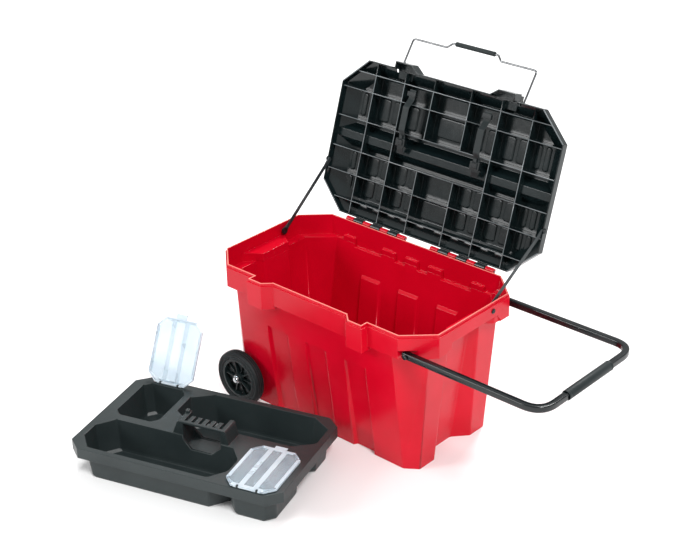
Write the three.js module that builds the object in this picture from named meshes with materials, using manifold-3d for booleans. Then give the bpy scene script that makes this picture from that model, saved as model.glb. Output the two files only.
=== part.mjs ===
// Wheeled tool chest with a hinged lid, a bail latch, a towing handle and a lift-out tote tray.
// Millimetres, +Z up. The origin is the centre of the rim's plan, on the floor.
// +X points to the towing handle, the wheels are at -X, -Y is the latch side and the lid hinges at +Y.
import * as THREE from "three";
import { mergeVertices } from "three/addons/utils/BufferGeometryUtils.js";
import Module from "manifold-3d";

const wasm = await Module();
wasm.setup();

// ---------------------------------------------------------------- driving dimensions

const FIT_GAP = 0.3; // between touching pieces
const WALL = 4; // moulded wall of the chest

// Chest: rim shelf that the lid rests on, and the footprint on the floor
const RIM = { x: 384, y: 216.4, cutX: 76.6, cutY: 70.4, z: 428 };
const LIP = { inset: 4, thickness: 3.5, top: 436 };
const COLLAR_BOTTOM = 369;
const LEDGE = { top: 373, thickness: 4 };
const FOOT = { left: -337, right: 316, y: 163, cutX: 36, cutY: 26 };
const WAIST = { left: -353, right: 350, y: 207, cutX: 72, cutY: 65, z: 384 };
const FLOOR = 5;

// Flutes pressed into the walls
const SIDE_FLUTES = [-141, 0, 141];
const SIDE_FLUTE = { mouth: 38, bed: 31, depthLow: 11, depthHigh: 6.5, top: 283, fade: 3 };
const END_FLUTE = { mouth: 78, bed: 36, depth: 37 }; // at the floor
const END_FLUTE_TOP = { z: 398, mouth: 61, bed: 47, depth: 18, flare: 0.85 };
const END_ARCH = { top: 392, half: 95, foot: 108 }; // raised bottom edge of the collar over the flute
const REAR_NOTCHES = [[-212, -109], [-60, -23], [23, 60], [109, 212]];
const NOTCH_Z = 362;
const REAR_LUGS = { ranges: [[-254, -212], [-109, -60], [-23, 23], [60, 109], [212, 254]], y: 202, top: 388 };

// Latch pockets on the front of the collar; the bail snaps under them
const POCKET = { inner: 127, shoulder: 152, outer: 206, front: -239, bottom: 358 };

// Lid hinge
const HINGE = { y: 233.6, z: 427, radius: 8, pin: 2.5 };
const LID_OPEN = THREE.MathUtils.degToRad(108.4);
const CHEST_KNUCKLES = [[47, 73], [111, 137], [176, 202], [240, 266]];
const LID_KNUCKLES = [[76, 108], [140, 173], [205, 237]];

// Lid, in its closed place
const LID = { x: 387.2, y: 223.7, cutX: 82.9, cutY: 76, z: 429, wall: 3.5 };
const LID_BAND = 22; // upright edge
const LID_SHOULDER = { rise: 27, inset: 9 };
const LID_TOP = { rise: 48, inset: 44 };
const LID_GROOVE = { mouth: 34, bed: 7, depth: 24 };
const RIB = { thickness: 2.6, edge: 8 };
const RIBS_ALONG_X = [-185.9, -134.1, -49.5, 40.3, 109.7, 184.7];
const RIBS_ALONG_Y = [-274, -168, -64, 64, 168, 274];
const LUG = { inner: 124, shoulder: 151, outer: 209, front: -242.2, rise: 30 };

// Bail: a wire handle on the front of the lid
const BAIL = { x: 214, y: -213.3, z: 467, wire: 3, arm: 99.6, grip: 115, tilt: 17.5 };
const BAIL_JOG = { outer: 94, inner: 78 };
const BAIL_GRIP_HALF = 68;
const BAIL_BLOCK = { x0: 156, x1: 206, y0: -236, y1: -194, z0: 452, z1: 476.5 };

// Lid stays: flat straps that fold in the middle
const STAY = { x: 368, thickness: 2.5, width: 12, footY: 75, footZ: 413, pin: 3 };
const STAY_TOP = { y: 286, z: 565.4 };
const STAY_LOWER = 124.8;
const STAY_OPEN_END = 18;

// Straps inside the lid that hold a long tool
const HOLD_STRAPS = [-132, 132];
const HOLD = { width: 22, thickness: 2.5, drop: 12 };

// Wheels and axle
const WHEEL = { x: -285, radius: 82, outer: 221, inner: 191, rimRadius: 60 };
const AXLE = { radius: 6, half: 229 };
const AXLE_TUNNEL = { x0: -304, x1: -268, z0: 64, z1: 100 };

// Towing handle
const TOW = { x: 322, y: 197, z: 378, half: 8.75, bore: 6.9, corner: 2.6, reach: 411, bend: 56, tail: 8 };
const TOW_GRIP = { front: -97, rear: 89, radius: 13.5 };
const TOW_RELIEF = { x0: 306, x1: 352, y: 182, top: 393.5 };

// Tote tray, in its own frame: x along it, y across it, z up from the floor
const TRAY = { x: 312.5, y: 194, cutX: 37, cutY: 33, z: 97, skirt: 32, wall: 3 };
const TRAY_PLACE = { x: -135.6, y: -484.6, yaw: THREE.MathUtils.degToRad(17.7) };
const TRAY_DRAFT = 7; // across; each tub states its own draft along X
const TUBS = {
  front: { x0: -294, x1: 143, y0: -181, y1: -31, cutX: 38, cutY: 45, draftLeft: 9, draftRight: 1 },
  rear: { x0: -127, x1: 298, y0: 27, y1: 181, cutX: 56, cutY: 38, draftLeft: 9, draftRight: 11 },
  bin_left: { x0: -281, x1: -142, y0: -12, y1: 167, cutX: 18, cutY: 18, draftLeft: 9, draftRight: 9 },
  bin_right: { x0: 152, x1: 292, y0: -181, y1: -8, cutX: 20, cutY: 20, draftLeft: 7, draftRight: 8 },
};
const BRIDGE = { x0: -80, x1: 87, top0: -66, top1: 80, y0: -31, y1: 27, z0: 54, z1: 138 };
const BRIDGE_BAR = { y1: 5 };
const HAND_HOLE = { x0: -48, x1: 65, z0: 59, z1: 131, cut: 24 };
const TOOL_SLOTS = { count: 6, first: -43, pitch: 20.8, width: 8, y0: -22 };

// Organiser lids on the tray's two bins
const BIN_LID = { x: 71.5, start: -1, length: 184, thickness: 2.6, cut: 25, lip: 7, tab: 14, tabWidth: 34 };
const BIN_PANES = { edge: 9, recess: 1.2, bars: [-20, 20], barWidth: 13 };
const BIN_HINGE = { z: 100.6, radius: 3.2, pin: 1.5, earIn: 25, earOut: 30, reach: 38 };
const BIN_LID_OPEN = THREE.MathUtils.degToRad(120);

// ---------------------------------------------------------------- helpers

const RED = 0xc8102a;
const BLACK = 0x1d2122;
const GREY = 0x33393a;
const STEEL = 0xb9bcc0;
const CLEAR = 0xcfd8e0;
const finish = (color, roughness, metalness = 0) =>
  new THREE.MeshStandardMaterial({ color, roughness, metalness });

function toSolid(geometry) {
  const bare = new THREE.BufferGeometry();
  const source = geometry.index ? geometry.toNonIndexed() : geometry;
  bare.setAttribute("position", source.getAttribute("position"));
  const merged = mergeVertices(bare, 1e-3);
  const mesh = new wasm.Mesh({
    numProp: 3,
    vertProperties: new Float32Array(merged.attributes.position.array),
    triVerts: new Uint32Array(merged.index.array),
  });
  return new wasm.Manifold(mesh);
}

function toGeometry(solid) {
  const mesh = solid.getMesh();
  const geometry = new THREE.BufferGeometry();
  geometry.setAttribute("position", new THREE.BufferAttribute(mesh.vertProperties, 3));
  geometry.setIndex(new THREE.BufferAttribute(mesh.triVerts, 1));
  geometry.computeVertexNormals();
  return geometry;
}

const join = (...solids) => solids.reduce((a, b) => a.add(b));
const cut = (solid, ...tools) => tools.reduce((a, b) => a.subtract(b), solid);

function piece(name, solid, material) {
  const mesh = new THREE.Mesh(toGeometry(solid), material);
  mesh.name = name;
  return mesh;
}

// A closed body through flat outlines of equal point count, each at its own height.
function loft(sections) {
  const count = sections[0].outline.length;
  const positions = [];
  for (const { z, outline } of sections) {
    for (const [x, y] of outline) positions.push(x, y, z);
  }
  const index = [];
  for (let s = 0; s + 1 < sections.length; s++) {
    for (let i = 0; i < count; i++) {
      const a = s * count + i;
      const b = s * count + ((i + 1) % count);
      index.push(a, b, b + count, a, b + count, a + count);
    }
  }
  const capOf = (s) =>
    THREE.ShapeUtils.triangulateShape(
      sections[s].outline.map(([x, y]) => new THREE.Vector2(x, y)),
      [],
    );
  const last = sections.length - 1;
  for (const [a, b, c] of capOf(0)) index.push(a, c, b);
  for (const [a, b, c] of capOf(last)) index.push(last * count + a, last * count + b, last * count + c);
  const geometry = new THREE.BufferGeometry();
  geometry.setAttribute("position", new THREE.Float32BufferAttribute(positions, 3));
  geometry.setIndex(index);
  return toSolid(geometry);
}

const prism = (outline, z0, z1) => loft([{ z: z0, outline }, { z: z1, outline }]);

// Rectangle with its four corners cut off, counter-clockwise.
function octagon(x0, x1, y0, y1, cutX, cutY) {
  return [
    [x0 + cutX, y0], [x1 - cutX, y0], [x1, y0 + cutY], [x1, y1 - cutY],
    [x1 - cutX, y1], [x0 + cutX, y1], [x0, y1 - cutY], [x0, y0 + cutY],
  ];
}

const centred = (x, y, cutX, cutY, inset = 0) =>
  octagon(-x + inset, x - inset, -y + inset, y - inset, cutX - 0.6 * inset, cutY - 0.6 * inset);

function box(x0, x1, y0, y1, z0, z1) {
  const geometry = new THREE.BoxGeometry(x1 - x0, y1 - y0, z1 - z0);
  return toSolid(geometry.translate((x0 + x1) / 2, (y0 + y1) / 2, (z0 + z1) / 2));
}

function rodAlongX(x0, x1, y, z, radius, sides = 20) {
  const geometry = new THREE.CylinderGeometry(radius, radius, x1 - x0, sides);
  return toSolid(geometry.rotateZ(Math.PI / 2).translate((x0 + x1) / 2, y, z));
}

function rodAlongY(y0, y1, x, z, radius, sides = 20) {
  const geometry = new THREE.CylinderGeometry(radius, radius, y1 - y0, sides);
  return toSolid(geometry.translate(x, (y0 + y1) / 2, z));
}

// A closed lathe ring or disc about the Y axis through (x, z); the profile is [radius, y].
function turnedAboutY(profile, x, z, sides) {
  const points = profile.map(([radius, y]) => new THREE.Vector2(radius, y));
  const geometry = new THREE.LatheGeometry(points, sides);
  return toSolid(geometry.translate(x, 0, z));
}

// A flat outline in the XZ plane, extruded along Y.
function slabAlongY(outline, y0, y1) {
  const shape = new THREE.Shape(outline.map(([x, z]) => new THREE.Vector2(x, z)));
  const geometry = new THREE.ExtrudeGeometry(shape, { depth: y1 - y0, bevelEnabled: false });
  return toSolid(geometry.rotateX(Math.PI / 2).translate(0, y1, 0));
}

// A flat outline in the YZ plane, extruded along X.
function slabAlongX(outline, x0, x1) {
  const shape = new THREE.Shape(outline.map(([y, z]) => new THREE.Vector2(y, z)));
  const geometry = new THREE.ExtrudeGeometry(shape, { depth: x1 - x0, bevelEnabled: false });
  const turn = new THREE.Matrix4().set(0, 0, 1, x0, 1, 0, 0, 0, 0, 1, 0, 0, 0, 0, 0, 1);
  return toSolid(geometry.applyMatrix4(turn));
}

// A route through given stations, whose tangent at a station halves the bend there.
class Route extends THREE.Curve {
  constructor(stations) {
    super();
    this.stations = stations;
  }
  getUtoTmapping(u) {
    return u;
  }
  getPoint(t, target = new THREE.Vector3()) {
    const at = t * (this.stations.length - 1);
    const i = Math.min(Math.floor(at), this.stations.length - 2);
    return target.lerpVectors(this.stations[i], this.stations[i + 1], at - i);
  }
  getTangent(t, target = new THREE.Vector3()) {
    const i = Math.round(t * (this.stations.length - 1));
    const before = this.stations[Math.max(i - 1, 0)];
    const here = this.stations[i];
    const after = this.stations[Math.min(i + 1, this.stations.length - 1)];
    const arriving = here.clone().sub(before).normalize();
    const leaving = after.clone().sub(here).normalize();
    return target.copy(arriving.add(leaving)).normalize();
  }
}

function tubeAlong(stations, radius, sides, bore = 0) {
  const shape = new THREE.Shape().absarc(0, 0, radius, 0, 2 * Math.PI);
  if (bore) shape.holes.push(new THREE.Path().absarc(0, 0, bore, 0, 2 * Math.PI, true));
  const geometry = new THREE.ExtrudeGeometry(shape, {
    steps: stations.length - 1,
    curveSegments: sides / 2,
    extrudePath: new Route(stations),
    bevelEnabled: false,
  });
  return toSolid(geometry);
}

// A square outline with rounded corners, as a path for a section.
function squareOutline(path, half, corner, clockwise = false) {
  const c = half - corner;
  const turns = [[c, c, 0], [-c, c, 0.5], [-c, -c, 1], [c, -c, 1.5]];
  const corners = turns.flatMap(([x, y, turn]) =>
    [0, 0.25, 0.5].map((step) => {
      const angle = (turn + step) * Math.PI;
      return new THREE.Vector2(x + corner * Math.cos(angle), y + corner * Math.sin(angle));
    }),
  );
  return path.setFromPoints(clockwise ? corners.reverse() : corners);
}

function squareTubeAlong(stations, half, corner, bore) {
  const shape = squareOutline(new THREE.Shape(), half, corner);
  if (bore) shape.holes.push(squareOutline(new THREE.Path(), bore, corner * 0.6, true));
  const geometry = new THREE.ExtrudeGeometry(shape, {
    steps: stations.length - 1,
    extrudePath: new Route(stations),
    bevelEnabled: false,
  });
  return toSolid(geometry);
}

// Stations of a route with its inner corners rounded; points are [x, y] in the route's plane.
function rounded(points, radius, steps, place) {
  const flat = points.map(([x, y]) => new THREE.Vector2(x, y));
  const stations = [flat[0]];
  for (let i = 1; i + 1 < flat.length; i++) {
    const arriving = flat[i].clone().sub(flat[i - 1]).normalize();
    const leaving = flat[i + 1].clone().sub(flat[i]).normalize();
    const turn = Math.acos(THREE.MathUtils.clamp(arriving.dot(leaving), -1, 1));
    const setback = radius * Math.tan(turn / 2);
    const start = flat[i].clone().addScaledVector(arriving, -setback);
    const end = flat[i].clone().addScaledVector(leaving, setback);
    const bend = new THREE.QuadraticBezierCurve(start, flat[i], end);
    stations.push(...bend.getPoints(steps));
  }
  stations.push(flat[flat.length - 1]);
  return stations.map((p) => place(p.x, p.y));
}

// ---------------------------------------------------------------- chest

const wallAt = (z) => {
  const t = z / WAIST.z;
  const mix = (a, b) => a + (b - a) * t;
  return {
    left: mix(FOOT.left, WAIST.left),
    right: mix(FOOT.right, WAIST.right),
    y: mix(FOOT.y, WAIST.y),
    cutX: mix(FOOT.cutX, WAIST.cutX),
    cutY: mix(FOOT.cutY, WAIST.cutY),
  };
};

function wallSection(z, inset) {
  const w = wallAt(z);
  const outline = octagon(
    w.left + inset, w.right - inset, -w.y + inset, w.y - inset, w.cutX - 0.6 * inset, w.cutY - 0.6 * inset,
  );
  return { z, outline };
}

// The space that a flute takes from one long wall; grow leaves the wall's thickness behind it.
function sideFlute(x, side, grow) {
  const section = (z, depth) => {
    const face = wallAt(z).y;
    const mouth = SIDE_FLUTE.mouth + grow;
    const bed = SIDE_FLUTE.bed + grow;
    const outline = [
      [x - mouth - 2, side * (face + 9)], [x - mouth, side * (face + 1)],
      [x - bed, side * (face - depth)], [x + bed, side * (face - depth)],
      [x + mouth, side * (face + 1)], [x + mouth + 2, side * (face + 9)],
    ];
    return { z, outline: side > 0 ? outline : outline.reverse() };
  };
  const shallow = grow ? grow : -0.5;
  return loft([
    section(-2, SIDE_FLUTE.depthLow + grow),
    section(SIDE_FLUTE.top - SIDE_FLUTE.fade, SIDE_FLUTE.depthHigh + grow),
    section(SIDE_FLUTE.top + grow, shallow),
  ]);
}

// The wide flute in the middle of one end wall. It narrows upwards and flares out under the collar.
function endFlute(side, grow, top) {
  const section = (z) => {
    const t = Math.max(z, 0) / END_FLUTE_TOP.z;
    const mix = (a, b) => a + (b - a) * t;
    const face = side > 0 ? wallAt(z).right : -wallAt(z).left;
    const back = face - mix(END_FLUTE.depth, END_FLUTE_TOP.depth) - grow;
    const bed = mix(END_FLUTE.bed, END_FLUTE_TOP.bed) + grow;
    const mouth = mix(END_FLUTE.mouth, END_FLUTE_TOP.mouth) + grow;
    const edge = RIM.x - WALL;
    const wide = mouth + END_FLUTE_TOP.flare * (edge - face);
    const outline = [
      [side * back, -bed], [side * (face + 0.5), -mouth], [side * edge, -wide],
      [side * edge, wide], [side * (face + 0.5), mouth], [side * back, bed],
    ];
    return { z, outline: side > 0 ? outline : outline.reverse() };
  };
  return loft([section(-2), section(top)]);
}

// What the arch over an end flute takes from the collar's outer wall.
function endArch(side) {
  const { top, half, foot } = END_ARCH;
  const low = COLLAR_BOTTOM - 3;
  const outline = [[-foot, low], [foot, low], [foot, low + 8], [half, top], [-half, top], [-foot, low + 8]];
  const x = [side * (RIM.x - WALL - 0.1), side * (RIM.x + 3)].sort((p, q) => p - q);
  return slabAlongX(outline, ...x);
}

function pocketOutline(side, inset) {
  const corners = [
    [POCKET.inner + inset, -RIM.y + 20], [POCKET.inner + inset, -RIM.y + 4], [POCKET.shoulder + 0.7 * inset, POCKET.front + inset],
    [POCKET.outer - inset, POCKET.front + inset], [POCKET.outer - inset, -RIM.y + 20],
  ];
  return side > 0 ? corners : corners.map(([x, y]) => [-x, y]).reverse();
}

function chestShell() {
  const wall = loft([wallSection(0, 0), wallSection(WAIST.z, 0)]);
  const skirt = cut(
    prism(centred(RIM.x, RIM.y, RIM.cutX, RIM.cutY, WALL), COLLAR_BOTTOM - 10, LEDGE.top - LEDGE.thickness),
    wall,
  );
  let body = join(
    wall,
    cut(prism(centred(RIM.x, RIM.y, RIM.cutX, RIM.cutY), COLLAR_BOTTOM, RIM.z), skirt),
    prism(centred(RIM.x, RIM.y, RIM.cutX, RIM.cutY, LIP.inset), RIM.z - 1, LIP.top),
  );
  for (const side of [-1, 1]) {
    body = join(
      body,
      prism(pocketOutline(side, 0), POCKET.bottom, RIM.z),
      prism(pocketOutline(side, LIP.inset), RIM.z - 1, LIP.top),
    );
  }
  for (const [x0, x1] of REAR_NOTCHES) {
    body = join(body, box(x0 - WALL, x1 + WALL, 196, RIM.y - 2, NOTCH_Z - WALL, LEDGE.top));
  }
  return body;
}

function chestHollow() {
  const inset = LIP.inset + LIP.thickness;
  let lower = loft([wallSection(FLOOR, WALL), wallSection(LEDGE.top + 2, WALL)]);
  for (const x of SIDE_FLUTES) {
    lower = cut(lower, sideFlute(x, -1, WALL), sideFlute(x, 1, WALL));
  }
  lower = cut(
    lower,
    endFlute(1, WALL, LEDGE.top + 3),
    endFlute(-1, WALL, LEDGE.top + 3),
    box(AXLE_TUNNEL.x0, AXLE_TUNNEL.x1, -200, 200, AXLE_TUNNEL.z0, AXLE_TUNNEL.z1),
  );
  let upper = cut(
    prism(centred(RIM.x, RIM.y, RIM.cutX, RIM.cutY, inset), LEDGE.top, LIP.top + 4),
    endFlute(1, WALL, END_FLUTE_TOP.z),
    endFlute(-1, WALL, END_FLUTE_TOP.z),
  );
  for (const side of [-1, 1]) {
    const [y0, y1] = [side * (TOW_RELIEF.y - WALL), side * RIM.y].sort((a, b) => a - b);
    upper = cut(upper, box(TOW_RELIEF.x0 - WALL, TOW_RELIEF.x1, y0, y1, LEDGE.top - 1, TOW_RELIEF.top + WALL));
  }
  let hollow = join(lower, upper);
  for (const side of [-1, 1]) {
    hollow = join(hollow, prism(pocketOutline(side, inset), POCKET.bottom + WALL, LIP.top + 4));
  }
  for (const [x0, x1] of REAR_NOTCHES) {
    hollow = join(hollow, box(x0, x1, 190, RIM.y - inset, NOTCH_Z, LEDGE.top + 1));
  }
  for (const [x0, x1] of REAR_LUGS.ranges) {
    hollow = cut(hollow, box(x0, x1, REAR_LUGS.y, RIM.y, LEDGE.top - 1, REAR_LUGS.top));
  }
  return hollow;
}

const mirrored = (ranges) => [...ranges, ...ranges.map(([a, b]) => [-b, -a])];

function chestKnuckles() {
  const parts = mirrored(CHEST_KNUCKLES).map(([x0, x1]) =>
    join(
      rodAlongX(x0, x1, HINGE.y, HINGE.z, HINGE.radius, 16),
      box(x0, x1, RIM.y - 2, HINGE.y, HINGE.z - HINGE.radius + 0.5, HINGE.z - 1.5),
      slabAlongX([[RIM.y - 2, 396], [HINGE.y - 1, HINGE.z - 6], [RIM.y - 2, HINGE.z - 4]], x0 + 4, x0 + 8),
      slabAlongX([[RIM.y - 2, 396], [HINGE.y - 1, HINGE.z - 6], [RIM.y - 2, HINGE.z - 4]], x1 - 8, x1 - 4),
    ),
  );
  return join(...parts);
}

// Bosses on the cut corners that carry the towing handle's pivots.
function towBosses() {
  const bosses = [-1, 1].map((side) => {
    const [y0, y1] = [side * 148, side * (TOW.y - TOW.half - 1)].sort((a, b) => a - b);
    return rodAlongY(y0, y1, TOW.x, TOW.z, 12, 20);
  });
  return join(...bosses);
}

function chest() {
  const rim = prism(centred(RIM.x, RIM.y, RIM.cutX, RIM.cutY), COLLAR_BOTTOM, RIM.z);
  const fluteTop = END_FLUTE_TOP.z - WALL;
  let body = cut(chestShell(), endFlute(1, 0, fluteTop), endFlute(-1, 0, fluteTop), endArch(1), endArch(-1));
  for (const x of SIDE_FLUTES) body = cut(body, sideFlute(x, -1, 0), sideFlute(x, 1, 0));
  for (const side of [-1, 1]) {
    const y0 = side > 0 ? TOW_RELIEF.y : -RIM.y - 5;
    const y1 = side > 0 ? RIM.y + 5 : -TOW_RELIEF.y;
    const { x0, x1, top } = TOW_RELIEF;
    body = join(body, box(x0 - WALL, x1, y0 - WALL, y1 + WALL, LEDGE.top - 1, top + WALL).intersect(rim));
    body = cut(body, box(x0, x1, y0, y1, COLLAR_BOTTOM - 20, top));
  }
  body = cut(join(body, towBosses()), chestHollow());
  body = join(body, chestKnuckles());
  body = cut(
    body,
    rodAlongY(-260, 260, WHEEL.x, WHEEL.radius, AXLE.radius + FIT_GAP, 24),
    rodAlongX(-280, 280, HINGE.y, HINGE.z, HINGE.pin + 0.2, 12),
  );
  for (const side of [-1, 1]) {
    body = cut(
      body,
      rodAlongY(side > 0 ? 150 : -260, side > 0 ? 260 : -150, TOW.x, TOW.z, 5 + FIT_GAP, 16),
      stayFootHole(side),
    );
  }
  return piece("chest_body", body, finish(RED, 0.45));
}

const stayFootHole = (side) =>
  rodAlongX(side > 0 ? 365 : -400, side > 0 ? 400 : -365, STAY.footY, STAY.footZ, STAY.pin + FIT_GAP, 12);

function hingePin(side) {
  const [x0, x1] = side > 0 ? [45, 268] : [-268, -45];
  const name = side > 0 ? "hinge_pin_right" : "hinge_pin_left";
  return piece(name, rodAlongX(x0, x1, HINGE.y, HINGE.z, HINGE.pin, 12), finish(STEEL, 0.35, 1));
}

// ---------------------------------------------------------------- lid, in its closed place

const lidSection = (rise, inset) => ({
  z: LID.z + rise,
  outline: centred(LID.x, LID.y, LID.cutX, LID.cutY, inset),
});

function lidOuter() {
  return loft([
    lidSection(0, 0),
    lidSection(LID_BAND, 1),
    lidSection(LID_SHOULDER.rise, LID_SHOULDER.inset),
    lidSection(LID_TOP.rise, LID_TOP.inset),
  ]);
}

function lidInner() {
  const w = LID.wall;
  return loft([
    lidSection(-2, w),
    lidSection(LID_BAND - 1, w + 1),
    lidSection(LID_SHOULDER.rise - 0.8 * w, LID_SHOULDER.inset + w),
    lidSection(LID_TOP.rise - w, LID_TOP.inset + w),
  ]);
}

// Vee groove along the lid's top, for resting a pipe or a length of timber.
function lidGroove(grow) {
  const top = LID.z + LID_TOP.rise;
  const { mouth, bed, depth } = LID_GROOVE;
  const outline = [
    [-mouth - grow, top + 6], [-mouth - grow, top], [-bed - grow, top - depth - grow],
    [bed + grow, top - depth - grow], [mouth + grow, top], [mouth + grow, top + 6],
  ];
  return slabAlongX(outline, -LID.x - 10, LID.x + 10);
}

function lugOutline(side, inset) {
  const corners = [
    [LUG.inner + 1.4 * inset, -LID.y + 8], [LUG.inner + 1.4 * inset, -LID.y + 1], [LUG.shoulder + 0.8 * inset, LUG.front + inset],
    [LUG.outer - inset, LUG.front + inset], [LUG.outer - inset, -LID.y + 8],
  ];
  return side > 0 ? corners : corners.map(([x, y]) => [-x, y]).reverse();
}

function lidRibs() {
  const low = LID.z + RIB.edge;
  const high = LID.z + LID_TOP.rise;
  const half = RIB.thickness / 2;
  const ribs = RIBS_ALONG_X.map((y) => box(-LID.x, LID.x, y - half, y + half, low, high));
  for (const x of RIBS_ALONG_Y) {
    if (Math.abs(x) < 100) {
      ribs.push(box(x - half, x + half, -LID.y, RIBS_ALONG_X[2], low, high));
      ribs.push(box(x - half, x + half, RIBS_ALONG_X[3], LID.y, low, high));
    } else {
      ribs.push(box(x - half, x + half, -LID.y, LID.y, low, high));
    }
  }
  return join(...ribs);
}

// The bail's leg passes down through this slot when it is latched.
function bailSlot(side) {
  const [x0, x1] = [side * (LUG.outer + 0.8), side * (BAIL.x + BAIL.wire + 1.2)].sort((a, b) => a - b);
  return box(x0, x1, -LID.y - 8, BAIL.y + BAIL.wire + 0.8, LID.z - 2, BAIL.z + 4);
}

function lidShell() {
  const outer = cut(lidOuter(), lidGroove(0));
  const hollow = cut(lidInner(), lidGroove(LID.wall));
  let body = join(cut(outer, hollow), outer.intersect(lidRibs()));
  for (const side of [-1, 1]) {
    const b = BAIL_BLOCK;
    const [x0, x1] = side > 0 ? [b.x0, b.x1] : [-b.x1, -b.x0];
    const lug = prism(lugOutline(side, 0), LID.z, LID.z + LUG.rise);
    const lugHollow = prism(lugOutline(side, LID.wall), LID.z - 2, LID.z + LUG.rise - LID.wall);
    body = join(body, cut(lug, lidInner()), box(x0, x1, b.y0, b.y1, b.z0, b.z1));
    body = cut(
      body,
      lugHollow,
      bailSlot(side),
      rodAlongX(side > 0 ? 178 : -230, side > 0 ? 230 : -178, BAIL.y, BAIL.z, BAIL.wire + FIT_GAP, 16),
      rodAlongX(side > 0 ? 370 : -400, side > 0 ? 400 : -370, LID.y - 138, LID.z + 5, STAY.pin + FIT_GAP, 12),
    );
  }
  for (const [x0, x1] of mirrored(LID_KNUCKLES)) {
    body = join(
      body,
      rodAlongX(x0, x1, HINGE.y, HINGE.z, HINGE.radius, 16),
      box(x0, x1, LID.y - 2, HINGE.y, LID.z + 0.5, HINGE.z + HINGE.radius - 0.2),
    );
  }
  body = cut(body, rodAlongX(-280, 280, HINGE.y, HINGE.z, HINGE.pin + 0.2, 12));
  return piece("lid_shell", body, finish(GREY, 0.5));
}

// A belt that leaves its anchor, stands off the ribs and lies back along them.
function holdStrap(x, name) {
  const top = LID.z + RIB.edge - FIT_GAP;
  const t = HOLD.thickness;
  const low = LID.z - HOLD.drop;
  const outline = [
    [-176, top], [-176, top - t], [-150, top - t], [-126, low], [-60, low], [-44, top - 8 - t],
    [-10, top - 8 - t], [6, top - t], [6, top], [-10, top - 8], [-43, top - 8], [-59, low + t],
    [-125, low + t], [-149, top],
  ].reverse();
  return piece(name, slabAlongX(outline, x - HOLD.width / 2, x + HOLD.width / 2), finish(BLACK, 0.7));
}

function holdBuckle(x, name) {
  const top = LID.z + RIB.edge - 8 - FIT_GAP;
  const body = cut(
    box(x - 16, x + 16, -36, -14, top - 6.5, top + 4),
    box(x - HOLD.width / 2 - 0.5, x + HOLD.width / 2 + 0.5, -40, -10, top - HOLD.thickness - 0.5, top + 0.5),
  );
  return piece(name, body, finish(BLACK, 0.5));
}

function holdAnchor(x, name) {
  const top = LID.z + RIB.edge - FIT_GAP;
  const body = cut(
    box(x - 15, x + 15, -170, -157, top - 7, top),
    box(x - HOLD.width / 2 - 0.4, x + HOLD.width / 2 + 0.4, -180, -150, top - 3.2, top + 1),
  );
  return piece(name, body, finish(BLACK, 0.5));
}

// ---------------------------------------------------------------- bail

const bailRadial = (distance) => {
  const tilt = THREE.MathUtils.degToRad(BAIL.tilt);
  return [BAIL.y - distance * Math.cos(tilt), BAIL.z + distance * Math.sin(tilt)];
};

function bailWire() {
  const route = [
    [-184, 0], [-BAIL.x, 0], [-BAIL.x, BAIL.arm], [-BAIL_JOG.outer, BAIL.arm], [-BAIL_JOG.inner, BAIL.grip],
    [BAIL_JOG.inner, BAIL.grip], [BAIL_JOG.outer, BAIL.arm], [BAIL.x, BAIL.arm], [BAIL.x, 0], [184, 0],
  ];
  const stations = rounded(route, 9, 4, (x, d) => new THREE.Vector3(x, ...bailRadial(d)));
  return piece("bail_wire", tubeAlong(stations, BAIL.wire, 8), finish(STEEL, 0.3, 1));
}

function bailGrip() {
  const [y, z] = bailRadial(BAIL.grip);
  const body = cut(rodAlongX(-BAIL_GRIP_HALF, BAIL_GRIP_HALF, y, z, 7, 16), rodAlongX(-90, 90, y, z, BAIL.wire + FIT_GAP, 12));
  return piece("bail_grip", body, finish(BLACK, 0.75));
}

// ---------------------------------------------------------------- lid stays, in their open place

const stayAngle = Math.atan2(STAY_TOP.z - STAY.footZ, STAY_TOP.y - STAY.footY);
const stayLength = Math.hypot(STAY_TOP.z - STAY.footZ, STAY_TOP.y - STAY.footY);

// A flat bar from one distance to another along the stay, lying against a side of its plane.
function stayBar(side, from, to, offset, holes) {
  const x0 = side * STAY.x + offset - STAY.thickness / 2;
  const x1 = x0 + STAY.thickness;
  const w = STAY.width / 2;
  const arcs = [];
  for (let i = 0; i <= 6; i++) {
    const a = -Math.PI / 2 + (i * Math.PI) / 6;
    arcs.push([Math.cos(a) * w, Math.sin(a) * w]);
  }
  const local = [
    ...arcs.map(([u, v]) => [to + u, v]),
    ...arcs.map(([u, v]) => [from - u, -v]),
  ];
  const c = Math.cos(stayAngle);
  const s = Math.sin(stayAngle);
  const outline = local.map(([u, v]) => [STAY.footY + u * c - v * s, STAY.footZ + u * s + v * c]);
  const bored = holes.map((u) =>
    rodAlongX(x0 - 5, x1 + 5, STAY.footY + u * c, STAY.footZ + u * s, STAY.pin + FIT_GAP, 12),
  );
  return cut(slabAlongX(outline, x0, x1), ...bored);
}

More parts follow.
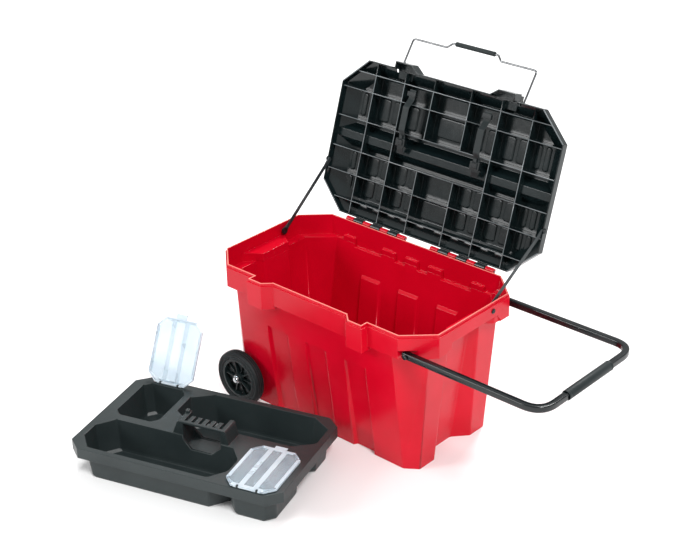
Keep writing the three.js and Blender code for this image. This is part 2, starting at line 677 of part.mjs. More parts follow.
function stays() {
  const meshes = [];
  for (const side of [-1, 1]) {
    const word = side > 0 ? "right" : "left";
    const shift = side * (STAY.thickness + 2 * FIT_GAP);
    const black = finish(BLACK, 0.6);
    const c = Math.cos(stayAngle);
    const s = Math.sin(stayAngle);
    const midY = STAY.footY + STAY_LOWER * c;
    const midZ = STAY.footZ + STAY_LOWER * s;
    const inner = side * STAY.x - shift - side * 3;
    const outer = side * STAY.x + side * 2.5;
    const rivet = rodAlongX(Math.min(inner, outer), Math.max(inner, outer), midY, midZ, STAY.pin, 12);
    const footX = [side * (STAY.x - 5), side * (RIM.x + 3)].sort((a, b) => a - b);
    const headX = side > 0 ? [RIM.x + FIT_GAP, RIM.x + 4] : [-RIM.x - 4, -RIM.x - FIT_GAP];
    const foot = join(
      rodAlongX(...footX, STAY.footY, STAY.footZ, STAY.pin, 12),
      rodAlongX(...headX, STAY.footY, STAY.footZ, 7, 16),
    );
    meshes.push(
      piece(`stay_${word}_lower`, stayBar(side, 0, STAY_LOWER, 0, [0, STAY_LOWER]), finish(0x6d7274, 0.6)),
      piece(
        `stay_${word}_upper`,
        stayBar(side, STAY_LOWER, stayLength - STAY_OPEN_END, -shift, [STAY_LOWER]),
        finish(0x6d7274, 0.6),
      ),
      piece(`stay_${word}_rivet`, rivet, finish(STEEL, 0.4, 1)),
      piece(`stay_${word}_foot_button`, foot, black),
    );
  }
  return meshes;
}

// The button on the lid that holds the top end of a stay, in the lid's closed place.
function stayLidButton(side, name) {
  const y = LID.y - 138;
  const z = LID.z + 5;
  const face = side * (LID.x + FIT_GAP);
  const headX = [face, side * (LID.x + 4.5)].sort((a, b) => a - b);
  const shankX = [side * (RIM.x - LIP.inset + 1.5), face].sort((a, b) => a - b);
  const body = join(rodAlongX(...headX, y, z, 7.5, 16), rodAlongX(...shankX, y, z, STAY.pin, 12));
  return piece(name, body, finish(BLACK, 0.6));
}

// ---------------------------------------------------------------- wheels and axle

function tyre(side, name) {
  const { radius, outer, inner, rimRadius } = WHEEL;
  const half = (outer - inner) / 2;
  const mid = side * ((outer + inner) / 2);
  const profile = [
    [rimRadius + FIT_GAP, -half + 3], [radius - 9, -half], [radius - 2, -half + 5], [radius, -half + 10],
    [radius, half - 10], [radius - 2, half - 5], [radius - 9, half], [rimRadius + FIT_GAP, half - 3],
    [rimRadius + FIT_GAP, -half + 3],
  ].map(([r, y]) => [r, mid + y]);
  return piece(name, turnedAboutY(profile, WHEEL.x, WHEEL.radius, 40), finish(0x151718, 0.85));
}

function hub(side, name) {
  const { outer, inner, rimRadius } = WHEEL;
  const half = (outer - inner) / 2 - 2;
  const mid = side * ((outer + inner) / 2);
  const ring = turnedAboutY(
    [[rimRadius - 8, -half], [rimRadius, -half], [rimRadius, half], [rimRadius - 8, half], [rimRadius - 8, -half]]
      .map(([r, y]) => [r, mid + y]),
    WHEEL.x, WHEEL.radius, 32,
  );
  const core = turnedAboutY(
    [[0, -half - 1], [15, -half - 1], [15, half + 1], [0, half + 1]].map(([r, y]) => [r, mid + y]),
    WHEEL.x, WHEEL.radius, 20,
  );
  const web = turnedAboutY(
    [[0, -3], [rimRadius - 4, -3], [rimRadius - 4, 1], [0, 1]].map(([r, y]) => [r, mid + side * -2 + y]),
    WHEEL.x, WHEEL.radius, 32,
  );
  const spokes = [];
  for (let i = 0; i < 5; i++) {
    const blade = new THREE.BoxGeometry(rimRadius - 12, 2 * half - 6, 4);
    blade.translate((rimRadius + 8) / 2, 0, 0).rotateY((i * 2 * Math.PI) / 5 + 0.3);
    spokes.push(toSolid(blade.translate(WHEEL.x, mid, WHEEL.radius)));
  }
  const bore = rodAlongY(mid - 30, mid + 30, WHEEL.x, WHEEL.radius, AXLE.radius + 0.1, 24);
  return piece(name, cut(join(ring, core, web, ...spokes), bore), finish(0x24282a, 0.55));
}

function axleParts() {
  const steel = finish(STEEL, 0.25, 1);
  const meshes = [piece("axle", rodAlongY(-AXLE.half, AXLE.half, WHEEL.x, WHEEL.radius, AXLE.radius, 24), steel)];
  for (const side of [-1, 1]) {
    const word = side > 0 ? "rear" : "front";
    const ring = (radius, from, to) => {
      const [y0, y1] = [side * from, side * to].sort((a, b) => a - b);
      return cut(
        rodAlongY(y0, y1, WHEEL.x, WHEEL.radius, radius, 24),
        rodAlongY(y0 - 1, y1 + 1, WHEEL.x, WHEEL.radius, AXLE.radius + 0.1, 24),
      );
    };
    meshes.push(piece(`wheel_spacer_${word}`, ring(11, 176, WHEEL.inner - 0.2), finish(BLACK, 0.6)));
    const cap = cut(
      rodAlongY(...[side * 221.2, side * 231].sort((a, b) => a - b), WHEEL.x, WHEEL.radius, 11, 20),
      rodAlongY(...[side * 215, side * (AXLE.half + FIT_GAP)].sort((a, b) => a - b), WHEEL.x, WHEEL.radius, AXLE.radius + 0.1, 24),
    );
    meshes.push(piece(`axle_cap_${word}`, cap, steel));
  }
  return meshes;
}

// ---------------------------------------------------------------- towing handle

function towStations() {
  const corner = TOW.x + TOW.reach;
  const route = [
    [TOW.x - TOW.tail, -TOW.y], [corner, -TOW.y], [corner, TOW.y], [TOW.x - TOW.tail, TOW.y],
  ];
  return rounded(route, TOW.bend, 7, (x, y) => new THREE.Vector3(x, y, TOW.z));
}

function towHandle() {
  const holes = rodAlongY(-260, 260, TOW.x, TOW.z, 5 + FIT_GAP, 16);
  const tube = cut(squareTubeAlong(towStations(), TOW.half, TOW.corner, TOW.bore), holes);
  const meshes = [piece("tow_tube", tube, finish(BLACK, 0.4, 0.3))];
  const bar = TOW.x + TOW.reach;
  const grip = cut(
    rodAlongY(TOW_GRIP.front, TOW_GRIP.rear, bar, TOW.z, TOW_GRIP.radius, 20),
    squareTubeAlong(
      [TOW_GRIP.front - 2, TOW_GRIP.rear + 2].map((y) => new THREE.Vector3(bar, y, TOW.z)),
      TOW.half + FIT_GAP, TOW.corner, 0,
    ),
  );
  meshes.push(piece("tow_grip", grip, finish(0x141617, 0.85)));
  for (const side of [-1, 1]) {
    const word = side > 0 ? "rear" : "front";
    const end = TOW.x - TOW.tail;
    const slab = (x0, x1, half) =>
      box(x0, x1, side * TOW.y - half, side * TOW.y + half, TOW.z - half, TOW.z + half);
    const plug = join(slab(end - 2, end - FIT_GAP, TOW.half), slab(end - 1, end + 1.8, TOW.bore - 0.6));
    meshes.push(piece(`tow_plug_${word}`, plug, finish(BLACK, 0.6)));
  }
  return meshes;
}

// Rivets that carry the towing handle, fixed in the chest's bosses.
function towRivets() {
  return [-1, 1].map((side) => {
    const word = side > 0 ? "rear" : "front";
    const span = (a, b) => [side * a, side * b].sort((p, q) => p - q);
    const shank = rodAlongY(...span(164, TOW.y + TOW.half + 1), TOW.x, TOW.z, 5, 16);
    const head = rodAlongY(...span(TOW.y + TOW.half + 0.5, TOW.y + TOW.half + 3.5), TOW.x, TOW.z, 8, 20);
    return piece(`tow_rivet_${word}`, join(shank, head), finish(STEEL, 0.35, 1));
  });
}

// ---------------------------------------------------------------- tray, in its own frame

function tubBody(tub, inset, floor, top) {
  const section = (z, share, lowCut) => {
    const outline = octagon(
      tub.x0 + share * tub.draftLeft + inset, tub.x1 - share * tub.draftRight - inset,
      tub.y0 + share * TRAY_DRAFT + inset, tub.y1 - share * TRAY_DRAFT - inset,
      tub.cutX + lowCut, tub.cutY + lowCut,
    );
    return { z, outline };
  };
  return loft([section(floor, 1.3, 4), section(floor + 8, 0.9, 0), section(top, 0, 0)]);
}

function handHole() {
  const h = HAND_HOLE;
  const outline = [
    [h.x0, h.z0 + h.cut + 2], [h.x0 + h.cut, h.z0], [h.x1 - h.cut - 4, h.z0], [h.x1, h.z0 + h.cut],
    [h.x1, h.z1], [h.x0, h.z1],
  ];
  return slabAlongY(outline, -60, 60);
}

// The carrying bridge: two hollow legs and a slotted bar between them.
function bridge() {
  const b = BRIDGE;
  const w = TRAY.wall;
  const side = (inset, bottom) => [
    [b.x0 + inset, bottom], [b.x1 - inset, bottom], [b.x1 - inset, TRAY.z], [b.top1 - inset, b.z1 - 4 - inset],
    [b.top1 - 4 - inset, b.z1 - inset], [b.top0 + 6 + inset, b.z1 - inset], [b.top0 + inset, b.z1 - 5 - inset],
    [b.x0 + inset, TRAY.z],
  ];
  const legs = cut(
    slabAlongY(side(w, b.z0 - 5), b.y0 + w, b.y1 - w),
    box(HAND_HOLE.x0 - w, HAND_HOLE.x1 + w, b.y0, b.y1, 0, 200),
  );
  const middle = join(
    box(HAND_HOLE.x0, HAND_HOLE.x1, b.y0 + w, b.y1 - w, b.z0 + w, HAND_HOLE.z1),
    box(HAND_HOLE.x0, HAND_HOLE.x1, BRIDGE_BAR.y1, b.y1 + 2, TRAY.z, b.z1 + 2),
  );
  return { outer: slabAlongY(side(0, b.z0), b.y0, b.y1), hollow: join(legs, middle) };
}

function binEars(x, hingeY) {
  const ears = [];
  for (const side of [-1, 1]) {
    const [a, b] = [x + side * BIN_HINGE.earIn, x + side * BIN_HINGE.earOut].sort((p, q) => p - q);
    ears.push(
      join(
        rodAlongX(a, b, hingeY, BIN_HINGE.z, BIN_HINGE.radius, 12),
        box(a, b, hingeY - BIN_HINGE.radius, hingeY + BIN_HINGE.radius, TRAY.z - 2, BIN_HINGE.z),
      ),
    );
  }
  return join(...ears);
}

// Each bin: its centre, its hinge line, and the way its lid reaches from there.
const BINS = {
  left: { x: -210, hingeY: 172, reach: -1 },
  right: { x: 224, hingeY: -188, reach: 1 },
};

function tray() {
  const t = TRAY;
  const rim = cut(
    prism(centred(t.x, t.y, t.cutX, t.cutY), t.z - t.skirt, t.z),
    prism(centred(t.x, t.y, t.cutX, t.cutY, t.wall), t.z - t.skirt - 2, t.z - t.wall),
  );
  const tubs = Object.values(TUBS);
  const span = bridge();
  let body = join(rim, ...tubs.map((tub) => tubBody(tub, 0, 0, t.z - 1)), span.outer);
  body = cut(body, span.hollow, handHole());
  body = cut(body, ...tubs.map((tub) => tubBody(tub, t.wall, t.wall, t.z + 2)));
  for (const bin of Object.values(BINS)) body = join(body, binEars(bin.x, bin.hingeY));
  for (let i = 0; i < TOOL_SLOTS.count; i++) {
    const x = TOOL_SLOTS.first + i * TOOL_SLOTS.pitch;
    const half = TOOL_SLOTS.width / 2;
    body = cut(body, box(x - half, x + half, TOOL_SLOTS.y0, BRIDGE_BAR.y1 + 2, HAND_HOLE.z1 - 1, BRIDGE.z1 + 2));
  }
  for (const bin of Object.values(BINS)) {
    body = cut(body, rodAlongX(bin.x - 80, bin.x + 80, bin.hingeY, BIN_HINGE.z, BIN_HINGE.pin + 0.2, 10));
  }
  return piece("tray_body", body, finish(GREY, 0.55));
}

// An organiser lid lying closed, with its hinge line on the X axis and reaching along +Y.
function binLidSolid() {
  const { x, start, length, thickness, cut: corner, lip, tab, tabWidth } = BIN_LID;
  const { earIn, earOut, reach, radius, pin } = BIN_HINGE;
  const low = TRAY.z + 1.2 - BIN_HINGE.z;
  const top = low + lip;
  const wall = 2.4;
  const outline = octagon(-x, x, start, length, corner, corner);
  const inner = octagon(-x + wall, x - wall, start + wall, length - wall, corner - 1, corner - 1);
  let body = cut(prism(outline, low, top), prism(inner, low - 1, top - thickness), ...binPanes(top));
  body = join(body, box(-tabWidth / 2, tabWidth / 2, length - 2, length + tab, low + 2, low + 5));
  body = join(body, rodAlongX(-reach, reach, 0, 0, radius, 12));
  for (const side of [-1, 1]) {
    const [a, b] = [side * (earIn - 1), side * (earOut + 1)].sort((p, q) => p - q);
    body = cut(body, box(a, b, -radius - 1, radius + 1, -8, 8));
  }
  return cut(body, rodAlongX(-90, 90, 0, 0, pin + 0.2, 10));
}

// The three shallow recesses that leave a lid's border and its two bars standing.
function binPanes(top) {
  const { edge, recess, bars, barWidth } = BIN_PANES;
  const { x, start, length, cut: corner } = BIN_LID;
  const field = prism(
    octagon(-x + edge, x - edge, start + edge, length - edge, corner - 5, corner - 5), top - recess, top + 1,
  );
  const stops = bars.map((bar) => box(bar - barWidth / 2, bar + barWidth / 2, 0, length, top - 3, top + 2));
  return [cut(field, ...stops)];
}

function binPin(bin, name) {
  const half = BIN_HINGE.reach - 1;
  const rod = rodAlongX(bin.x - half, bin.x + half, bin.hingeY, BIN_HINGE.z, BIN_HINGE.pin, 10);
  return piece(name, rod, finish(STEEL, 0.35, 1));
}

// ---------------------------------------------------------------- the object

const toolChest = new THREE.Group();
toolChest.add(chest(), hingePin(-1), hingePin(1), ...axleParts(), ...towRivets(), ...towHandle(), ...stays());

for (const [side, word] of [[-1, "front"], [1, "rear"]]) {
  toolChest.add(tyre(side, `tyre_${word}`), hub(side, `wheel_hub_${word}`));
}

// The lid and what it carries are shaped closed and swung open about the hinge.
const lidFrame = new THREE.Group();
lidFrame.position.set(0, HINGE.y, HINGE.z);
lidFrame.rotation.x = -LID_OPEN;
const lid = new THREE.Group();
lid.position.set(0, -HINGE.y, -HINGE.z);
lid.add(
  lidShell(),
  bailWire(),
  bailGrip(),
  stayLidButton(-1, "stay_left_lid_button"),
  stayLidButton(1, "stay_right_lid_button"),
);
HOLD_STRAPS.forEach((x, i) => {
  const word = i ? "right" : "left";
  lid.add(
    holdStrap(x, `hold_strap_${word}`),
    holdBuckle(x, `hold_buckle_${word}`),
    holdAnchor(x, `hold_anchor_${word}`),
  );
});
lidFrame.add(lid);
toolChest.add(lidFrame);

const trayFrame = new THREE.Group();
trayFrame.position.set(TRAY_PLACE.x, TRAY_PLACE.y, 0);
trayFrame.rotation.z = TRAY_PLACE.yaw;
trayFrame.add(tray());
for (const [word, bin] of Object.entries(BINS)) {
  trayFrame.add(binPin(bin, `bin_pin_${word}`));
  const lidMesh = piece(`bin_lid_${word}`, binLidSolid(), finish(CLEAR, 0.2));
  lidMesh.position.set(bin.x, bin.hingeY, BIN_HINGE.z);
  lidMesh.rotation.order = "ZXY";
  lidMesh.rotation.z = bin.reach > 0 ? 0 : Math.PI;
  if (word === "left") lidMesh.rotation.x = BIN_LID_OPEN;
  trayFrame.add(lidMesh);
}
toolChest.add(trayFrame);

export default toolChest;
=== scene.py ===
import math

import bmesh
import bpy
from mathutils import Matrix, Vector


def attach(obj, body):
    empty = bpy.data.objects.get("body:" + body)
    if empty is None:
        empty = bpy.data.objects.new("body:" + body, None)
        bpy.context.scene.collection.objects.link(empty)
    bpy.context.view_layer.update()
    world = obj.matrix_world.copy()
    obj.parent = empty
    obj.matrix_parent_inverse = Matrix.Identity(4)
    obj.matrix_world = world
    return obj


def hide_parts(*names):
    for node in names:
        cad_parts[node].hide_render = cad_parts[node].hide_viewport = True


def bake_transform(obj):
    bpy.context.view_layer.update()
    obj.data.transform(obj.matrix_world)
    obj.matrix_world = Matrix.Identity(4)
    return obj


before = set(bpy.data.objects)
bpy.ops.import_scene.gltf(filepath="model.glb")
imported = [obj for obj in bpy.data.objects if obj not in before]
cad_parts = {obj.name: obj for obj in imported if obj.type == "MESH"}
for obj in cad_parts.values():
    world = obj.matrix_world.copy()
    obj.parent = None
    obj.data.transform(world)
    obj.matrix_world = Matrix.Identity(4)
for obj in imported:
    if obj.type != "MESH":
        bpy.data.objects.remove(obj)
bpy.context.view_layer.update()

MM = 0.001

# Places shared with the CAD model, in millimetres.
HINGE_Y, HINGE_Z = 233.6, 427.0
LID_OPEN = math.radians(108.4)
BAIL_Y, BAIL_Z, BAIL_TILT = -213.3, 467.0, math.radians(17.5)
STAY_X = 368.0
STAY_FOOT = Vector((75.0, 413.0))
STAY_HEAD = Vector((286.9, 565.1))
STAY_HEAD_X = 381.6
LID_BUTTON = Vector((85.7, 434.0))  # with the lid closed
WHEEL_X, WHEEL_Z = -285.0, 82.0
TOW_X, TOW_Y, TOW_Z, TOW_REACH, TOW_HALF = 322.0, 197.0, 378.0, 411.0, 8.75
TRAY_YAW = math.radians(17.7)
BIN_HINGE_Z = 100.6
BIN_PLACE = {"left": (-210.0, 172.0), "right": (224.0, -188.0)}
BIN_LID_OPEN = math.radians(120.0)

AT_REST = Matrix.Identity(4)
HINGE = Vector((0.0, HINGE_Y, HINGE_Z)) * MM
LID_MATRIX = (
    Matrix.Translation(HINGE) @ Matrix.Rotation(-LID_OPEN, 4, "X") @ Matrix.Translation(-HINGE)
)
TRAY_MATRIX = (
    Matrix.Translation(Vector((-135.6, -484.6, 0.0)) * MM) @ Matrix.Rotation(TRAY_YAW, 4, "Z")
)


# ---------------------------------------------------------------- materials


def new_material(name):
    material = bpy.data.materials.new(name)
    material.use_nodes = True
    nodes = material.node_tree.nodes
    shader = nodes["Principled BSDF"]
    coordinates = nodes.new("ShaderNodeTexCoord")
    return material, shader, coordinates


def add_noise(material, coordinates, scale, detail=3.0, stretch=None):
    """A noise texture in object space; stretch scales it along the three axes."""
    tree = material.node_tree
    texture = tree.nodes.new("ShaderNodeTexNoise")
    texture.inputs["Scale"].default_value = scale
    texture.inputs["Detail"].default_value = detail
    source = coordinates.outputs["Object"]
    if stretch:
        mapping = tree.nodes.new("ShaderNodeMapping")
        mapping.inputs["Scale"].default_value = stretch
        tree.links.new(source, mapping.inputs["Vector"])
        source = mapping.outputs["Vector"]
    tree.links.new(source, texture.inputs["Vector"])
    return texture.outputs["Fac"]


def ramp_between(material, factor, low, high, start=0.3, end=0.7):
    """A colour ramp from low to high over the factor."""
    tree = material.node_tree
    ramp = tree.nodes.new("ShaderNodeValToRGB")
    ramp.color_ramp.elements[0].position = start
    ramp.color_ramp.elements[0].color = (*low, 1.0)
    ramp.color_ramp.elements[1].position = end
    ramp.color_ramp.elements[1].color = (*high, 1.0)
    tree.links.new(factor, ramp.inputs["Fac"])
    return ramp.outputs["Color"]


def map_range(material, factor, low, high):
    tree = material.node_tree
    node = tree.nodes.new("ShaderNodeMapRange")
    node.inputs["To Min"].default_value = low
    node.inputs["To Max"].default_value = high
    tree.links.new(factor, node.inputs["Value"])
    return node.outputs["Result"]


def add_bump(material, shader, layers):
    """Bump layers, each a (height, strength, distance in metres), one over another."""
    tree = material.node_tree
    normal = None
    for height, strength, distance in layers:
        bump = tree.nodes.new("ShaderNodeBump")
        bump.inputs["Strength"].default_value = strength
        bump.inputs["Distance"].default_value = distance
        tree.links.new(height, bump.inputs["Height"])
        if normal:
            tree.links.new(normal, bump.inputs["Normal"])
        normal = bump.outputs["Normal"]
    tree.links.new(normal, shader.inputs["Normal"])


def moulded_plastic(name, dark, light, rough, shine=0.2, grain=0.25, grain_scale=1600.0):
    """Injection-moulded plastic: fine spark grain, faint flow waviness, mottled colour."""
    material, shader, coordinates = new_material(name)
    tree = material.node_tree
    waviness = 0.12
    shader.inputs["Specular IOR Level"].default_value = shine
    flow = add_noise(material, coordinates, 7.0, 4.0)
    grain_height = add_noise(material, coordinates, grain_scale, 2.0)
    scuffs = add_noise(material, coordinates, 60.0, 8.0)
    tree.links.new(ramp_between(material, flow, dark, light), shader.inputs["Base Color"])
    tree.links.new(map_range(material, scuffs, *rough), shader.inputs["Roughness"])
    add_bump(material, shader, [(flow, waviness, 0.002), (grain_height, grain, 0.0002)])
    return material


def plated_metal(name, dark, light, rough, stretch):
    """Plated or drawn steel with fine streaks along its length."""
    material, shader, coordinates = new_material(name)
    tree = material.node_tree
    shader.inputs["Metallic"].default_value = 1.0
    streaks = add_noise(material, coordinates, 300.0, 5.0, stretch)
    blotches = add_noise(material, coordinates, 35.0, 4.0)
    tree.links.new(ramp_between(material, blotches, dark, light), shader.inputs["Base Color"])
    tree.links.new(map_range(material, streaks, *rough), shader.inputs["Roughness"])
    add_bump(material, shader, [(streaks, 0.12, 0.0002)])
    return material


def powder_coat(name, dark, light, rough):
    """Paint baked on steel: small orange-peel dimples under a gloss."""
    material, shader, coordinates = new_material(name)
    tree = material.node_tree
    peel = add_noise(material, coordinates, 420.0, 3.0)
    tone = add_noise(material, coordinates, 25.0, 4.0)
    shader.inputs["Specular IOR Level"].default_value = 0.45
    tree.links.new(ramp_between(material, tone, dark, light), shader.inputs["Base Color"])
    tree.links.new(map_range(material, tone, *rough), shader.inputs["Roughness"])
    add_bump(material, shader, [(peel, 0.3, 0.0003)])
    return material


def clear_plastic(name, dark, light, see_through, rough):
    """Frosted clear plastic: partly see-through, with a faint haze and flow lines."""
    material, shader, coordinates = new_material(name)
    tree = material.node_tree
    haze = add_noise(material, coordinates, 18.0, 4.0)
    grain = add_noise(material, coordinates, 900.0, 2.0)
    shader.inputs["IOR"].default_value = 1.25
    shader.inputs["Transmission Weight"].default_value = see_through
    tree.links.new(ramp_between(material, haze, dark, light), shader.inputs["Base Color"])
    tree.links.new(map_range(material, haze, *rough), shader.inputs["Roughness"])
    add_bump(material, shader, [(grain, 0.08, 0.0002)])
    return material


RED = moulded_plastic("red_plastic", (0.52, 0.0006, 0.012), (0.60, 0.0012, 0.017), (0.17, 0.28), 0.26, 0.2)
BLACK = moulded_plastic(
    "black_plastic", (0.003, 0.0075, 0.0085), (0.007, 0.013, 0.014), (0.13, 0.24), 0.5, 0.2
)
TRAY_BLACK = moulded_plastic(
    "tray_plastic", (0.014, 0.021, 0.022), (0.024, 0.033, 0.034), (0.34, 0.50), 0.42, 0.5, 1100.0
)
FITTING = moulded_plastic("fitting_plastic", (0.004, 0.007, 0.008), (0.009, 0.013, 0.014), (0.26, 0.40), 0.35)
HUB = moulded_plastic("hub_plastic", (0.006, 0.011, 0.012), (0.012, 0.019, 0.020), (0.30, 0.45), 0.35)
TYRE = moulded_plastic(
    "tyre_rubber", (0.005, 0.008, 0.009), (0.010, 0.014, 0.015), (0.50, 0.70), 0.3, 0.6, 700.0
)
RUBBER = moulded_plastic(
    "grip_rubber", (0.008, 0.013, 0.014), (0.016, 0.023, 0.024), (0.42, 0.60), 0.3, 0.6, 800.0
)
STRAP = moulded_plastic(
    "stay_strap", (0.020, 0.026, 0.028), (0.038, 0.046, 0.049), (0.38, 0.55), 0.35, 0.5, 900.0
)
COATED = powder_coat("black_powder_coat", (0.002, 0.004, 0.005), (0.005, 0.008, 0.009), (0.10, 0.20))
STEEL = plated_metal("plated_steel", (0.11, 0.115, 0.12), (0.22, 0.225, 0.23), (0.16, 0.32), (0.05, 1.0, 1.0))
CHROME = plated_metal("cap_steel", (0.50, 0.51, 0.53), (0.70, 0.71, 0.72), (0.10, 0.24), (1.0, 1.0, 1.0))
# A lighter red painted on the lip's top edge as a highlight, not the plastic's own colour.
RED_PAINTED_HIGHLIGHT = moulded_plastic("red_painted_highlight", (0.80, 0.16, 0.13), (0.90, 0.25, 0.21), (0.14, 0.24), 0.4, 0.2)
# A lighter grey painted on the free edges of the lid's ribs as a highlight, not the plastic's own colour.
BLACK_PAINTED_HIGHLIGHT = moulded_plastic("black_painted_highlight", (0.10, 0.12, 0.125), (0.17, 0.19, 0.20), (0.14, 0.24), 0.5, 0.2)
CLEAR = clear_plastic("frosted_border", (0.62, 0.72, 0.80), (0.76, 0.84, 0.90), 0.35, (0.22, 0.36))
PANE = clear_plastic("clear_pane", (0.64, 0.76, 0.84), (0.78, 0.88, 0.95), 0.74, (0.08, 0.18))


# ---------------------------------------------------------------- mesh helpers


def finish_mesh(
    name, bm, material, body, replaced=(), matrix=AT_REST, flat_faces=False, second=None
):
    """Turns a bmesh in millimetres into a piece that rides on a body.

    The faces that mark() picked take the second material."""
    sharp_from = math.radians(32.0)
    bmesh.ops.dissolve_degenerate(bm, dist=0.01, edges=bm.edges)
    bmesh.ops.remove_doubles(bm, verts=bm.verts, dist=0.01)
    bmesh.ops.recalc_face_normals(bm, faces=bm.faces)
    bmesh.ops.transform(bm, matrix=matrix @ Matrix.Scale(MM, 4), verts=bm.verts)
    mesh = bpy.data.meshes.new(name)
    bm.to_mesh(mesh)
    bm.free()
    mesh.polygons.foreach_set("use_smooth", [True] * len(mesh.polygons))
    mesh.set_sharp_from_angle(angle=sharp_from)
    piece = bpy.data.objects.new(name, mesh)
    bpy.context.scene.collection.objects.link(piece)
    mesh.materials.append(material)
    if second:
        mesh.materials.append(second)
    if flat_faces:
        weighted = piece.modifiers.new("weighted_normals", "WEIGHTED_NORMAL")
        weighted.keep_sharp = True
        weighted.weight = 80
    if body:
        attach(piece, body)
    if replaced:
        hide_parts(*replaced)
    return piece


def node_bmesh(node, matrix=AT_REST):
    """A CAD node's mesh in millimetres, in its own local frame, in whole convex faces."""
    bm = bmesh.new()
    bm.from_mesh(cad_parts[node].data)
    to_local = Matrix.Scale(1.0 / MM, 4) @ matrix.inverted()
    bmesh.ops.transform(bm, matrix=to_local, verts=bm.verts)
    bmesh.ops.remove_doubles(bm, verts=bm.verts, dist=0.005)
    bmesh.ops.dissolve_limit(bm, angle_limit=math.radians(1.2), verts=bm.verts, edges=bm.edges)
    bmesh.ops.connect_verts_concave(bm, faces=bm.faces)
    bmesh.ops.connect_verts_nonplanar(bm, angle_limit=math.radians(0.5), faces=bm.faces)
    return bm


def bevel(bm, edges, width, segments):
    bmesh.ops.bevel(
        bm, geom=edges, offset=width, segments=segments, profile=0.5, affect="EDGES", clamp_overlap=False
    )


def creases(bm, shortest, angle=24.0, where=None):
    """Edges of real length that turn by more than the angle."""
    found = []
    for edge in bm.edges:
        if len(edge.link_faces) != 2 or edge.calc_length() < shortest:
            continue
        if edge.calc_face_angle(0.0) < math.radians(angle):
            continue
        if where is None or where(edge):
            found.append(edge)
    return found


def lathe_points(profile, sides):
    """Rings of points about +X; the profile is (distance along, radius) pairs."""
    rings = []
    for along, radius in profile:
        ring = []
        for i in range(sides):
            turn = 2.0 * math.pi * i / sides
            ring.append(Vector((along, radius * math.cos(turn), radius * math.sin(turn))))
        rings.append(ring)
    return rings


def skin(bm, rings, closed=False, capped=True):
    """Joins rings of equal point count with quads, with caps at the two ends."""
    made = [[bm.verts.new(point) for point in ring] for ring in rings]
    count = len(made[0])
    pairs = list(zip(made, made[1:]))
    if closed:
        pairs.append((made[-1], made[0]))
    for near, far in pairs:
        for i in range(count):
            j = (i + 1) % count
            bm.faces.new((near[i], near[j], far[j], far[i]))
    if capped and not closed:
        bm.faces.new(reversed(made[0]))
        bm.faces.new(made[-1])


def lathe(bm, profile, sides, place=AT_REST, closed=False):
    rings = lathe_points(profile, sides)
    skin(bm, [[place @ point for point in ring] for ring in rings], closed, not closed)


def along_y(x, y, z, side=1.0):
    """Turns the lathe's +X axis to the Y axis, pointing outwards on the given side."""
    turn = Matrix.Rotation(math.radians(90.0) * side, 4, "Z")
    return Matrix.Translation(Vector((x, y, z))) @ turn


def rounded_route(corners, radius, steps):
    """Points along a polyline with each inner corner turned on an arc-like curve."""
    points = [corners[0].copy()]
    for before, corner, after in zip(corners, corners[1:], corners[2:]):
        arriving = (corner - before).normalized()
        leaving = (after - corner).normalized()
        setback = radius * math.tan(arriving.angle(leaving) / 2.0)
        start = corner - arriving * setback
        end = corner + leaving * setback
        for i in range(steps + 1):
            t = i / steps
            points.append(start * (1 - t) ** 2 + corner * 2 * t * (1 - t) + end * t * t)
    points.append(corners[-1].copy())
    return points


def tangent_at(points, i):
    before = points[max(i - 1, 0)]
    after = points[min(i + 1, len(points) - 1)]
    return (after - before).normalized()


def round_outline(radius, sides):
    turns = [2.0 * math.pi * k / sides for k in range(sides)]
    return [(radius * math.cos(turn), radius * math.sin(turn)) for turn in turns]


def square_outline(half, corner, steps=4):
    """A square with rounded corners, as (across, up) pairs."""
    outline = []
    centre = half - corner
    for quarter, (a, b) in enumerate(((1, 1), (-1, 1), (-1, -1), (1, -1))):
        for k in range(steps + 1):
            turn = math.pi / 2.0 * (quarter + k / steps)
            outline.append((a * centre + corner * math.cos(turn), b * centre + corner * math.sin(turn)))
    return outline


def sweep(bm, points, outline, flat_normal):
    """An outline carried along a flat route; flat_normal is the normal of the route's plane."""
    rings = []
    for i, point in enumerate(points):
        across = tangent_at(points, i).cross(flat_normal).normalized()
        rings.append([point + across * a + flat_normal * b for a, b in outline])
    skin(bm, rings)


def even_points(points, step):
    """The same route with points every step millimetres."""
    lengths = [0.0]
    for a, b in zip(points, points[1:]):
        lengths.append(lengths[-1] + (b - a).length)
    count = max(2, round(lengths[-1] / step))
    made = []
    k = 0
    for i in range(count + 1):
        target = lengths[-1] * i / count
        while k + 2 < len(points) and lengths[k + 1] < target:
            k += 1
        span = max(lengths[k + 1] - lengths[k], 1e-6)
        made.append(points[k].lerp(points[k + 1], min(1.0, (target - lengths[k]) / span)))
    return made


def belt(bm, points, across, width, thickness, ridge=0.0, pitch=4.0, taper=0.0, boot=0.0):
    """A flat belt along a route: rounded edges, cross ridges every pitch, ends tapered in.

    A boot is a length at each end over which the belt is up to two and a half times as thick."""
    step = pitch / 4.0
    points = even_points(points, step)
    rings = []
    last = len(points) - 1
    for i, point in enumerate(points):
        out = across.cross(tangent_at(points, i)).normalized()
        half = width / 2.0
        end_distance = min(i, last - i) * step
        if taper and end_distance < taper:
            share = 1.0 - end_distance / taper
            half *= max(0.45, math.sqrt(max(0.0, 1.0 - share * share)))
        depth = thickness / 2.0 - (ridge if i % 4 in (0, 1) else 0.0)
        if end_distance < boot:
            depth *= 1.0 + 1.5 * min(1.0, 4.0 * (1.0 - end_distance / boot))
        edge = min(depth, 0.6)
        outline = (
            (-half, -depth + edge), (-half + edge, -depth), (half - edge, -depth), (half, -depth + edge),
            (half, depth - edge), (half - edge, depth), (-half + edge, depth), (-half, depth - edge),
        )
        rings.append([point + across * a + out * b for a, b in outline])
    skin(bm, rings)


